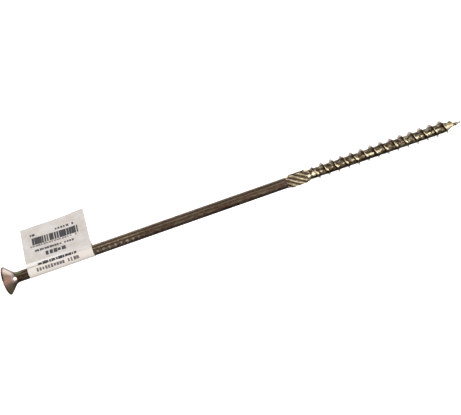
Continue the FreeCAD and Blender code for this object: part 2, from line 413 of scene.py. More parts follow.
@dataclass(frozen=True)
class ZincFinish:
    """Yellow zinc plating over drawn and rolled steel, dark on the shank and bright on the head and on what was cut.
    These tones are partly painted light, and painted highlights and painted shade are laid over them.
    """

    mottle: Tree
    grain: Tree
    streaks: Tree

    brown: Colour = (0.1, 0.062, 0.041, 1)
    olive: Colour = (0.115, 0.096, 0.056, 1)
    russet: Colour = (0.15, 0.075, 0.055, 1)
    pale_line: Colour = (0.28, 0.215, 0.165, 1)
    fleck: Colour = (0.5, 0.41, 0.32, 1)
    plum: Colour = (0.075, 0.035, 0.03, 1)
    lichen: Colour = (0.17, 0.155, 0.115, 1)
    dark: Colour = (0.05, 0.03, 0.016, 1)
    smoke: Colour = (0.165, 0.132, 0.085, 1)
    silver: Colour = (0.45, 0.42, 0.28, 1)
    highlight_green: Colour = (0.1, 0.125, 0.06, 1)
    umber: Colour = (0.5, 0.4, 0.25, 1)
    bronze: Colour = (0.62, 0.5, 0.3, 1)
    cream: Colour = (0.98, 0.83, 0.57, 1)
    ash: Colour = (0.2, 0.195, 0.165, 1)
    pale: Colour = (0.98, 0.86, 0.8, 1)
    rose: Colour = (0.92, 0.74, 0.7, 1)
    blush: Colour = (0.74, 0.38, 0.29, 1)
    straw: Colour = (0.5, 0.43, 0.22, 1)
    bark: Colour = (0.125, 0.08, 0.048, 1)

    back_side: Point = (0.0, 0.857, 0.515)
    upper_side: Point = (0.0, -0.515, 0.857)
    flush: Spot = Spot((1.8, -2.9, 5.2), 1.6, 4.6)
    # A patch of painted shade on the upper cone, between its bright top and its middle.
    cone_shade: Spot = Spot((1.4, -0.3, 6.3), 0.8, 2.8, 0.6)
    # A green painted highlight on the upper side of the neck.
    neck_highlight: Spot = Spot((2.95, 0.6, 2.63), 0.3, 1.0, 0.9)
    # Two spots of painted highlight, at the cutter's end and where the thread begins.
    highlight_spots: tuple[Spot, ...] = (Spot((162.2, -1.3, 2.1), 0.5, 1.5), Spot((159.5, -1.8, 1.95), 1.1 / 3, 1.1))
    # Painted light along the shank: painted shade near its upper outline, a painted highlight line below that, and
    # broad painted shade along its middle.
    light_bands: tuple[Band, ...] = (Band(1.7, 0.7, 0.9, dark), Band(0.9, 0.4, 0.5, pale_line), Band(-0.05, 0.9, 0.7, dark))

    rim: float = 0.6
    head_end: float = 6.4
    mouth: Span = (6.7, 7.1, 0.9, 0.0)
    shaded_neck: Span = (12.0, 30.0, 0.35, 0.0)
    fleck_start: Span = (30.0, 46.0)
    fleck_end: Span = (66.0, 74.0, 1.0, 0.0)
    fleck_first: float = 48.3
    fleck_pitch: float = 3.1
    fleck_high: float = -0.95
    # How far towards the back the painted highlight line on the flecked stretch runs.
    highlight_line: float = 0.9
    cutter: Span = (147.5, 160.5)
    cutter_fade: float = 0.6
    warm_core: Span = (180.0, 215.0, 0.75, 0.0)
    point_start: Span = (231.0, 233.0)
    point_end: Span = (235.4, 236.2, 1.0, 0.0)
    needle: Span = (237.4, 238.2, 0.0, 0.9)
    crest_foot: Span = (0.05, 0.2)

    def shank_tone(self, here: Reading) -> Wire:
        """Makes the dark drawn surface of the shank, with bands of painted shade and a painted highlight line along
        it.

        Args:
            here: What the material reads.

        Returns:
            The shank's colour.
        """
        place, along, high, small = here.place, here.along, here.high, here.small
        broad = place.stretched(0.25).through(self.mottle, scale=0.35, contrast=2.2)
        spots = place.stretched(0.5).through(self.mottle, scale=0.8, contrast=4.5)
        lines = place.through(self.streaks, fineness=2.4, reach=0.06)
        flecked = along.ramp(*self.fleck_start) * along.ramp(*self.fleck_end)
        half = self.fleck_pitch / 2
        step = (along - self.fleck_first).math("WRAP", half, -half)
        off = place.build.joined(step, high - self.fleck_high).measure("LENGTH")
        flecks = flecked * (here.upper > 0.0) * small.ramp(0.25, 0.7, 0.3, 0.9)
        return broad.mix(self.brown, self.olive).under(
            (self.russet, small.ramp(0.45, 0.9)),
            (self.pale_line, lines.math("POWER", 2.0) * 0.7),
            (self.plum, spots.ramp(0.5, 0.8, 0.0, 0.75)),
            (self.lichen, spots.ramp(0.4, 0.1, 0.0, 0.55)),
            (self.pale_line, flecked * small.ramp(0.5, 0.72, 0.0, 0.85)),
            (self.dark, along.ramp(*self.shaded_neck)),
            # Painted shade on the shank's lower part, growing towards the cutter, where the key lamp lights it more.
            (self.dark, high.ramp(0.7, 0.2) * along.ramp(90.0, 140.0, 0.08, 0.3)),
            # The bands of painted shade and the painted highlight line along the shank.
            *((band.colour, high.near(band.high, band.width / 4, band.width, band.amount, smooth=True))
              for band in self.light_bands),
            (self.fleck, flecks * off.ramp(0.3, 0.85, 1.0, 0.0)),
            # A mottled painted highlight line on the upper side of the flecked stretch.
            (self.umber, flecks * high.near(self.highlight_line, 0.1, 0.45, 0.8)),
            # The green painted highlight on the neck.
            (self.highlight_green, self.neck_highlight.mask(place.stretched(0.4))),
        )

    def head_tone(self, here: Reading) -> Wire:
        """Makes the bright head, with a reddish patch, a darker foot and a dark rim and socket. The darker foot is
        painted shade, and so are the darker lower and front sides, a patch on the upper cone, a thin dark line along
        the cone's upper outline and the rim's darker upper and lower sides.

        Args:
            here: What the material reads.

        Returns:
            The head's colour.
        """
        place, along, high, small = here.place, here.along, here.high, here.small
        radius = place.stretched(0.0).measure("LENGTH")
        flushed = self.flush.mask(place) * small.ramp(0.1, 0.6, 0.6, 1.0)
        # The rim is darkened a little all round; painted shade darkens its upper and lower sides more.
        lower_rim_shade, upper_rim_shade = high.ramp(-3.0, -4.0, 0.35, 0.85), high.ramp(0.0, 0.9, 0.0, 0.9)
        return flushed.mix(self.rose, self.blush).under(
            (self.silver, small.ramp(0.35, 0.9, 0.0, 0.35)),
            # Painted shade: a patch on the upper cone, the front and lower sides, the foot by the neck and a thin line
            # along the cone's upper outline.
            (self.umber, self.cone_shade.mask(place)),
            (self.umber, place.parts()[1].ramp(-4.2, -6.2, 0.0, 0.85, smooth=True)),
            (self.bronze, high.ramp(-1.8, -4.0, 0.0, 0.8, smooth=True)),
            (self.bark, high.ramp(-1.6, -2.6) * along.ramp(2.4, 4.4, 0.0, 0.75)),
            (self.smoke, (high / radius).ramp(0.9, 0.96, 0.0, 0.7)),
            (self.smoke, (along + radius).ramp(*self.mouth)),
            (self.smoke, along.ramp(self.rim - 0.1, self.rim + 0.3, lower_rim_shade, 0.0)),
            (self.dark, along.ramp(self.rim, self.rim + 0.4, upper_rim_shade, 0.0)),
        )

    def rib_tone(self, here: Reading, upper: Wire) -> Wire:
        """Makes the cutter's ribs, pale on their tops, with painted shade between them. Along the upper outline their
        tops get painted shade and the grooves between them a painted highlight.

        Args:
            here: What the material reads.
            upper: The mask of the cutter's upper outline.

        Returns:
            The cutter's colour.
        """
        # Painted shade darkens the grooves between the ribs.
        return here.crest.ramp(0.4, 0.9).mix(self.dark, self.straw).under(
            (self.russet, here.small * 0.25),
            (self.bark, here.patch.ramp(0.5, 0.2, 0.0, 0.65)),
            # Along the upper outline: painted shade on the rib tops and a painted highlight in the grooves.
            (self.dark, upper * here.crest.ramp(0.2, 0.35)),
            (self.cream, upper * here.crest.ramp(*self.crest_foot, 0.85, 0.0)),
        )

    def thread_highlight(self, here: Reading) -> Wire:
        """Makes the mask of the bright crescents of painted highlight on the thread's flank.

        Args:
            here: What the material reads.

        Returns:
            The mask.
        """
        middle, lean, broadest, narrowing = 0.15, 0.42, 0.5, 0.42
        off = abs(here.high + middle).math("POWER", 2.0)
        broad = (off * -narrowing + broadest) * here.small.ramp(0.0, 1.0, 0.75, 1.25)
        past_edge = abs(here.side - (here.high * -lean + lean)) - broad
        return past_edge.ramp(-0.08, 0.1, 1.0, 0.0) * here.along.ramp(*self.point_start, 1.0, 0.0)

    def read(self, build: Builder) -> Reading:
        """Places the nodes that read the screw's surface.

        Args:
            build: The material's builder.

        Returns:
            What the material reads.
        """
        place = build.wire("ShaderNodeAttribute", output="Vector", attribute_name="place")
        crest, side = (build.wire("ShaderNodeAttribute", output="Fac", attribute_name=name)
                       for name in ("crest", "side"))
        return Reading(
            place, place.parts()[0], place.measure("DOT_PRODUCT", self.back_side),
            place.measure("DOT_PRODUCT", self.upper_side), crest, side,
            place.through(self.mottle, scale=1.1, contrast=2.0),
            place.stretched(0.7).through(self.mottle, scale=0.75, contrast=4.5),
            place.through(self.streaks, fineness=1.9, reach=0.03),
        )

    def material(self) -> bpy.types.Material:
        """Makes the material.

        Returns:
            The plating's material.
        """
        made, build = new_material("yellow_zinc")
        here = self.read(build)
        along, high, crest, side, patch = here.along, here.high, here.crest, here.side, here.patch
        begin, end = self.cutter
        reach = high.math("MAXIMUM", 0.0) * 0.5 + along
        head = reach.ramp(self.head_end - 1.6, self.head_end, 1.0, 0.0, smooth=True)
        cut = along.ramp(begin, begin + self.cutter_fade) * along.ramp(end - self.cutter_fade, end, 1.0, 0.0)
        upper = high.ramp(2.1, 2.5) * cut
        past = along.ramp(end - 0.5, end + 0.5)
        glints = patch.ramp(0.72, 0.9)
        warm = along.ramp(*self.warm_core).mix(self.smoke, self.bark)
        core = patch.ramp(0.3, 0.6).mix(self.dark, warm).under((self.silver, glints * 0.6))

        # The ridges were raised after the place was kept, so the height on them is worked out again.
        lifted = high * (crest * 0.6 + 1.0)
        beyond = abs(lifted)
        on_ridge = crest.ramp(*self.crest_foot)
        shade = side.ramp(-0.55, -0.35) * side.ramp(-0.05, 0.05, 1.0, 0.0) * beyond.ramp(2.0, 2.5, 0.9, 0.0)
        # Painted shade, dark brown, on the ridges' upper side where they rise to the top outline.
        foot = lifted.ramp(1.2, 1.8) * lifted.ramp(2.6, 3.3, 0.8, 0.0) * here.upper.ramp(-0.4, 0.5) * on_ridge
        # A painted highlight on the ridge tips near the top and bottom outline.
        tip = on_ridge * beyond.ramp(2.4, 2.8, smooth=True) * past * foot.inverse()
        # A painted highlight on the point, fading towards its upper side.
        bright = along.ramp(*self.point_start, smooth=True) * along.ramp(*self.point_end, smooth=True)
        # A painted highlight along one flank of each rib.
        edge = side.ramp(0.1, 0.3) * side.ramp(0.5, 0.7, 0.85, 0.0) * upper.inverse() * patch.ramp(0.2, 0.5, 0.5, 1.2)
        # The painted highlights: crescents on the thread, the rib flanks and two spots. They are cream and less
        # metallic.
        painted_highlight = (self.thread_highlight(here) * past).math("MAXIMUM", cut * edge)
        for spot in self.highlight_spots:
            painted_highlight = painted_highlight.math("MAXIMUM", spot.mask(here.place))
        tone = head.mix(self.shank_tone(here), self.head_tone(here)).under(
            (self.rib_tone(here, upper), cut),
            (core, past * 0.85),
            (self.dark, shade * past),
            (self.bark, foot * past),
            (self.pale, tip * high.ramp(0.0, 1.0, 0.95, 0.75)),
            (self.cream, bright * high.ramp(0.6, 1.6, 0.85, 0.0)),
            (self.ash, along.ramp(*self.needle)),
            (self.cream, painted_highlight * 0.95),
        )
        rough = here.small.ramp(0.0, 1.0, 0.18, 0.3)
        for mask, change in (
            (here.lines, 0.1), (along.ramp(self.head_end - 1.5, self.head_end + 2.0), 0.25),
            (upper * crest.ramp(0.2, 0.35), 0.45), (glints * past, -0.14),
        ):
            rough = mask * change + rough
        matt = painted_highlight.math("MAXIMUM", tip).math("MAXIMUM", cut * 0.6)
        height = here.lines * 0.5 + here.place.stretched(0.25).through(self.grain, scale=7.0, coarse=0.6)
        values = {"Base Color": tone, "Metallic": matt * -0.75 + 1.0, "Roughness": rough}
        build.surface(height, 0.35, 0.00003, values)
        return made


@dataclass(frozen=True)
class PrintedRow:
    """One printed row on the label, in millimetres across the strip and from its fold."""

    mark: Mark
    start: float
    end: float
    centre: float
    height: float
    pitch: float
    fill: float
    gaps: float
    ink: float


PRINTED_ROWS = (
    PrintedRow(Mark.DASHES, 4.4, 7.6, 23.3, 2.0, 1.05, 0.9, 0.0, 1.0),
    PrintedRow(Mark.DASHES, 16.4, 28.1, 23.3, 2.0, 1.5, 0.8, 0.15, 0.95),
    PrintedRow(Mark.STRIPES, 5.1, 29.6, 18.2, 5.6, 1.32, 0.92, 0.0, 1.0),
    PrintedRow(Mark.DASHES, 3.8, 28.5, 14.4, 1.6, 1.4, 0.75, 0.12, 0.7),
    PrintedRow(Mark.DASHES, 5.8, 26.4, 10.7, 1.9, 1.3, 0.85, 0.08, 0.95),
    PrintedRow(Mark.DASHES, 11.1, 21.7, 6.6, 3.5, 2.12, 0.85, 0.0, 1.0),
    PrintedRow(Mark.DASHES, 5.8, 26.7, 0.4, 2.0, 1.2, 0.95, 0.05, 1.0),
    PrintedRow(Mark.DASHES, 4.6, 28.1, -2.5, 2.1, 1.5, 0.7, 0.12, 0.85),
)


@dataclass(frozen=True)
class Crease:
    """A soft line across the label near the fold, a painted highlight when pale and a painted shadow when dark: how
    far out it is, its width, its strength along it, and its colour.
    """

    out: float
    width: Span
    strength: Span
    colour: Colour


@dataclass(frozen=True)
class PaperFinish:
    """Thin greyish label paper with plain printed rows."""

    mottle: Tree
    grain: Tree
    rows: dict[Mark, Tree]
    width: float
    length: float
    reach: float

    grey: Colour = (0.53, 0.475, 0.415, 1)
    light: Colour = (0.68, 0.64, 0.63, 1)
    warm: Colour = (0.78, 0.715, 0.645, 1)
    ink: Colour = (0.03, 0.027, 0.03, 1)
    tilt: Span = (0.0, 12.0, 0.02, 0.052)
    # Where the painted light on the part round the shank fades out.
    wrap: Span = (-0.4, 0.4, 1.0, 0.0)
    # A pale painted highlight just past the fold and a dark painted shadow along it.
    fold_shading: tuple[Crease, ...] = (
        Crease(1.6, (0.5, 1.5), (2.0, 30.0, 0.7, 0.15), (0.95, 0.92, 0.9, 1)),
        Crease(-0.1, (0.15, 0.5), (0.0, 34.0, 0.45, 0.15), (0.3, 0.26, 0.22, 1)),
    )

    def material(self) -> bpy.types.Material:
        """Makes the material.

        Returns:
            The paper's material.
        """
        made, build = new_material("label_paper")
        u, v, _ = build.wire("ShaderNodeUVMap", uv_map="strip").parts()
        across = u * self.width
        outward = v * -self.length + self.reach
        turned = (across - self.width / 2) * outward.ramp(*self.tilt) + outward
        place = build.joined(across, turned)
        mottled = place.through(self.mottle, scale=0.09, contrast=2.4)
        tone = mottled.mix(self.grey, self.light).under(
            # Painted light: the part round the shank is warmer and lighter.
            (self.warm, outward.ramp(*self.wrap, smooth=True) * 0.75),
            # The painted highlight and painted shadow by the fold.
            *((crease.colour, turned.near(crease.out, *crease.width) * across.ramp(*crease.strength))
              for crease in self.fold_shading),
        )
        for number, row in enumerate(PRINTED_ROWS, 1):
            mask = place.through(
                self.rows[row.mark], start=row.start, end=row.end, centre=row.centre, height=row.height,
                pitch=row.pitch, fill=row.fill, gaps=row.gaps, seed=float(number),
            )
            tone = tone.under((self.ink, mask * row.ink))
        rough = mottled.ramp(0.0, 1.0, 0.5, 0.66)
        values = {"Base Color": tone, "Roughness": rough, "Specular IOR Level": 0.35}
        build.surface(place.through(self.grain, scale=3.0, coarse=1.2), 0.25, 0.00004, values)
        return made


def helical_ridge_tree() -> Tree:
    """Makes the tree that raises ridges along a helix on a turned skin about +X, in the skin's own units.

    Returns:
        The geometry node tree. It also keeps how high each point is raised as the
        attribute crest, and how far it is past the ridge's middle as the attribute side.
    """
    lengths = (
        "Lead", "Begin", "End", "Start Angle", "Core Radius", "Crest Radius", "Top Width", "Flank Behind",
        "Flank Ahead", "Rise In", "Rise Out", "Low In", "Low Out", "Rounding", "Wobble", "Seed",
    )
    build, (shape, starts, finish, *given) = new_group(
        "helical ridge",
        {"Geometry": "NodeSocketGeometry", "Starts": "NodeSocketInt", "Finish": "NodeSocketMaterial"}
        | dict.fromkeys(lengths, 0.0),
        "NodeSocketGeometry", "GeometryNodeTree",
    )
    (lead, begin, end, start_angle, core_radius, crest_radius, top_width, behind, ahead, rise_in, rise_out, low_in,
     low_out, rounding, wobble, seed) = given
    here = build.wire("GeometryNodeInputPosition")
    x, y, z = here.parts()
    radius = (y * y + z * z).math("SQRT")
    phase = ((x - begin) / lead - (z.math("ARCTAN2", y) - start_angle) / TAU) * starts
    side = (phase - phase.math("ROUND")) * lead / starts
    down = (abs(side) - top_width * 0.5).math("MAXIMUM", 0.0)
    full = crest_radius - core_radius
    flank = (side > 0.0) * (ahead - behind) + behind
    rise = x.ramp(begin, begin + rise_in, low_in, crest_radius)
    fall = x.ramp(end - rise_out, end, crest_radius, low_out)
    uneven = build.wire("ShaderNodeTexNoise", {"Vector": here, "W": seed, "Scale": 0.9, "Detail": 2.0},
                        noise_dimensions="4D")
    top = (uneven - 0.5) * wobble + rise.math("MINIMUM", fall)
    raised = radius.math("SMOOTH_MAX", top - down * (full / flank), rounding)
    factor = raised / radius.math("MAXIMUM", 0.01)
    factors = build.joined(1.0, factor, factor)
    moved = build.wire("ShaderNodeVectorMath", {0: here, 1: factors}, operation="MULTIPLY")
    inside = (x > begin) * (x < end)
    before = build.wire("GeometryNodeInputNamedAttribute", {"Name": "crest"}, "Attribute", data_type="FLOAT")
    kept = ((raised - radius) / full * inside).math("MAXIMUM", before)
    for name, value, chosen in (("crest", kept, True), ("side", side, inside)):
        shape = build.wire(
            "GeometryNodeStoreNamedAttribute",
            {"Geometry": shape, "Selection": chosen, "Name": name, "Value": value},
            data_type="FLOAT", domain="POINT",
        )
    shape = build.wire("GeometryNodeSetPosition", {"Geometry": shape, "Selection": inside, "Position": moved})
    shape = build.wire("GeometryNodeRealizeInstances", {0: shape})
    shape = build.wire("GeometryNodeSetMaterial", {"Geometry": shape, "Material": finish})
    build.node("NodeGroupOutput", {0: shape})
    return build.tree


def add_ridge(skin: bpy.types.Object, tree: Tree, values: dict[str, object]) -> None:
    """Adds the helical ridge tree to a skin.

    Args:
        skin: The turned skin.
        tree: The helical ridge tree.
        values: The value of each named input.
    """
    modifier = skin.modifiers.new("helical ridge", "NODES")
    modifier.node_group = tree
    sockets = {item.name: item.identifier for item in tree.interface.items_tree if item.in_out == "INPUT"}
    for name, value in values.items():
        modifier[sockets[name]] = value


@dataclass(frozen=True)
class Screw:
    """The screw, as one closed skin of rings and columns about its own axis, in millimetres from the head's face."""

    head_radius: float = 7.25
    head_rim: float = 0.45
    rim_bevel: float = 0.09
    cone_rings: tuple[float, ...] = (0.8, 1.6, 2.6)
    neck_end: float = 6.49
    neck_radius: float = 3.6
    neck_steps: int = 10
    shank_radius: float = 2.7
    shank_start: float = 9.0
    shank_step: float = 4.0
    socket_tip: float = 3.375
    socket_flute: float = 2.425
    lobe_radius: float = 0.545
    socket_depth: float = 3.2
    floor_angle: float = radians(65)
    mouth_bevel: float = 0.12
    cutter: tuple[float, float] = (148.0, 160.0)
    cutter_shoulder: float = 0.8
    cutter_core: float = 2.9
    cutter_crest: float = 3.4
    cutter_lead: float = 30.0
    cutter_step: float = 0.25
    lead_in: float = 2.0
    lead_out: float = 0.4
    rib_count: int = 8
    rib_steps: tuple[float, ...] = (0.0, 0.3, 0.55, 0.75, 0.98, 1.2, 1.5)
    thread_core: float = 2.5
    thread_crest: float = 4.0
    thread_pitch: float = 5.2
    thread_angle: float = radians(262)
    thread_end: float = 238.7
    thread_zone: float = 1.1
    thread_rings: int = 48
    point: Curve = (
        (229.0, 2.5), (231.0, 2.4), (232.8, 2.0), (234.2, 1.42), (235.4, 1.02), (236.7, 0.75), (238.2, 0.56),
        (239.4, 0.43), (239.85, 0.32),
    )
    length: float = 240.0

    def lobed(self, angle: float) -> float:
        """Finds the radius of the socket's wall.

        Args:
            angle: The angle about the axis, from +Y towards +Z.

        Returns:
            The wall's radius there.
        """
        lobe_place = self.socket_tip - self.lobe_radius
        step = pi / 6
        flute = (lobe_place**2 + self.socket_flute**2 - 2 * lobe_place * self.socket_flute * cos(step)
                 - self.lobe_radius**2) / (2 * (self.lobe_radius - self.socket_flute + lobe_place * cos(step)))
        turned = abs((angle + step) % (2 * step) - step)
        centre = self.socket_flute + flute
        joint = atan2(centre * sin(step) * self.lobe_radius,
                      lobe_place * flute + centre * cos(step) * self.lobe_radius)
        if turned < joint:
            return lobe_place * cos(turned) + sqrt(self.lobe_radius**2 - (lobe_place * sin(turned))**2)
        off = step - turned
        return centre * cos(off) - sqrt(flute**2 - (centre * sin(off))**2)

    def even(self, column: int) -> float:
        """Returns the angle of a column where the columns are evenly spread."""
        return TAU * column / COLUMNS

    def angle(self, column: int, x: float) -> float:
        """Finds where a column runs, so that it follows the ribs and then the thread.

        Args:
            column: The column's number.
            x: The distance from the head's face.

        Returns:
            The column's angle about the axis.
        """
        begin, end = self.cutter
        if x <= begin - self.lead_in:
            return self.even(column)
        per_rib = COLUMNS // self.rib_count
        rib, within = divmod(column + per_rib // 2, per_rib)
        within -= per_rib // 2
        pitch = self.cutter_lead / self.rib_count
        offset = copysign((*self.rib_steps[:-1], pitch / 2)[abs(within)], within)
        rib_angle = TAU * ((x - begin) / self.cutter_lead + rib / self.rib_count + offset / self.cutter_lead)
        if x <= begin:
            share = (x - begin + self.lead_in) / self.lead_in
            return rib_angle * share + self.even(column) * (1 - share)
        if x <= end - self.lead_out:
            return rib_angle
        twist = (end - begin) / self.cutter_lead
        ahead = (self.thread_angle / TAU - twist) % 1
        turns = (column - round(ahead * COLUMNS)) / COLUMNS
        whole = round(turns)
        part = turns - whole
        # Half of the columns crowd into the narrow zone about the thread, the rest share the core.
        zone = self.thread_zone / self.thread_pitch
        spread = min(abs(part), 0.25) * 4 * zone + max(abs(part) - 0.25, 0) * 4 * (0.5 - zone)
        thread_angle = TAU * (twist + ahead + whole + copysign(spread, part) + (x - end) / self.thread_pitch)
        share = min((x - end + self.lead_out) / self.lead_in, 1.0)
        return rib_angle * (1 - share) + thread_angle * share

    def socket_rings(self) -> list[list[Vector]]:
        """Makes the rings of the socket, from its floor out to the head's face.

        Returns:
            The rings, each a list of points.
        """
        angles = [self.even(k) for k in range(COLUMNS)]
        walls = [self.lobed(a) for a in angles]
        steepness = tan(self.floor_angle)
        floors = [self.socket_depth + (self.socket_tip - w) / steepness for w in walls]
        edge = self.head_radius - self.rim_bevel
        rings = [[(self.socket_depth + (self.socket_tip - share * w) / steepness, share * w) for w in walls]
                 for share in (0.15, 0.4, 0.7, 0.97)]
        rings += [[(f * share, w) for f, w in zip(floors, walls)] for share in (0.97, 0.7, 0.4)]
        rings.append([(self.mouth_bevel, w) for w in walls])
        rings += [[(0.0, (w + self.mouth_bevel) * (1 - share) + edge * share) for w in walls]
                  for share in (0.0, 0.02, 0.3, 0.65, 1.0)]
        return [[spun(x, r, a) for (x, r), a in zip(ring, angles)] for ring in rings]

    def cutter_rings(self) -> list[tuple[float, float]]:
        """Makes the turned outline of the cutter, without its ribs.

        Returns:
            The distance from the head's face and the radius of each ring.
        """
        begin, end = self.cutter
        start = begin - 1.5
        outline = [
            (start, self.shank_radius), (begin, self.shank_radius), (begin + self.cutter_shoulder, self.cutter_core),
            (end - self.cutter_shoulder, self.cutter_core), (end, self.thread_core), (end + 1, self.thread_core),
        ]
        rings = []
        for k in range(ceil((end + 0.3 - start) / self.cutter_step)):
            x = start + self.cutter_step * k
            a, b = next((a, b) for a, b in zip(outline, outline[1:]) if x <= b[0])
            rings.append((x, a[1] + (b[1] - a[1]) * (x - a[0]) / (b[0] - a[0])))
        return rings

    def profile(self) -> list[tuple[float, float]]:
        """Makes the turned outline from the head's rim to the tip.

        Returns:
            The distance from the head's face and the radius of each ring.
        """
        rim, bevel = self.head_rim, self.rim_bevel
        points = [(bevel * 0.3, self.head_radius - bevel * 0.3), (bevel, self.head_radius),
                  (rim - 0.02, self.head_radius), (rim + 0.04, self.head_radius - 0.07)]
        points += [(x, self.head_radius + rim - x) for x in self.cone_rings]
        for step in range(self.neck_steps + 1):
            bend = pi / 4 * (1 - step / self.neck_steps)
            points.append((self.neck_end - self.neck_radius * sin(bend),
                           self.shank_radius + self.neck_radius * (1 - cos(bend))))
        begin, end = self.cutter
        for k in range(ceil((begin - 1.6 - self.shank_start) / self.shank_step)):
            points.append((self.shank_start + self.shank_step * k, self.shank_radius))
        points += self.cutter_rings()
        x = end + 0.35
        while x < self.point[-1][0] - 0.02:
            points.append((x, eased(self.point, x) if x > self.point[0][0] else self.thread_core))
            x += self.thread_pitch / self.thread_rings
        points.append(self.point[-1])
        return points

    def skin(self) -> bpy.types.Object:
        """Makes the closed skin, still without ribs and thread.

        Returns:
            The skin, in its own millimetre frame.
        """
        rings = self.socket_rings()
        rings += [[spun(x, radius, self.angle(k, x)) for k in range(COLUMNS)] for x, radius in self.profile()]
        floor_middle = self.socket_depth + self.socket_tip / tan(self.floor_angle)
        points = [Vector((floor_middle, 0, 0)), *(p for ring in rings for p in ring), Vector((self.length, 0, 0))]
        last = len(points) - 1
        faces = []
        for k in range(COLUMNS):
            after = (k + 1) % COLUMNS
            faces.append((0, 1 + after, 1 + k))
            faces.append((last, last - COLUMNS + k, last - COLUMNS + after))
            for low in range(1, last - COLUMNS, COLUMNS):
                faces.append((low + k, low + after, low + COLUMNS + after, low + COLUMNS + k))
        mesh = bpy.data.meshes.new("skin")
        mesh.from_pydata(points, [], faces)
        place = mesh.attributes.new("place", "FLOAT_VECTOR", "POINT")
        place.data.foreach_set("vector", [c for p in points for c in p])
        mesh.shade_smooth()
        return linked("skin", mesh)

    def build(self, finish: ZincFinish, rest: Rest) -> bpy.types.Object:
        """Makes the finished screw.

        Args:
            finish: The plating.
            rest: How the screw lies.

        Returns:
            The finished piece.
        """
        skin = self.skin()
        tree = helical_ridge_tree()
        shared = {"Rounding": 0.1, "Finish": finish.material()}
        begin, end = self.cutter
        add_ridge(skin, tree, shared | {
            "Lead": self.cutter_lead, "Starts": self.rib_count, "Begin": begin, "End": end, "Start Angle": 0.0,
            "Core Radius": self.cutter_core, "Crest Radius": self.cutter_crest, "Top Width": 0.8,
            "Flank Behind": 1.0, "Flank Ahead": 1.0, "Rise In": 2.2, "Rise Out": 2.2, "Low In": 2.5, "Low Out": 2.0,
            "Wobble": 0.08, "Seed": 3.0,
        })
        add_ridge(skin, tree, shared | {
            "Lead": self.thread_pitch, "Starts": 1, "Begin": end, "End": self.thread_end,
            "Start Angle": self.thread_angle, "Core Radius": self.thread_core, "Crest Radius": self.thread_crest,
            "Top Width": 0.16, "Flank Behind": 0.35, "Flank Ahead": 0.62, "Rise In": 3.2, "Rise Out": 7.7,
            "Low In": 2.3, "Low Out": 0.35, "Wobble": 0.12, "Seed": 8.0,
        })
        piece = plain_mesh("zinc_screw", skin, rest.screw())
        piece.data.set_sharp_from_angle(angle=radians(32))
        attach(piece, "root")
        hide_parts("screw")
        return piece


class Layer(Enum):
    """The parts of the label's strip."""

    UPPER = 1
    LOOP = 0
    LOWER = -1


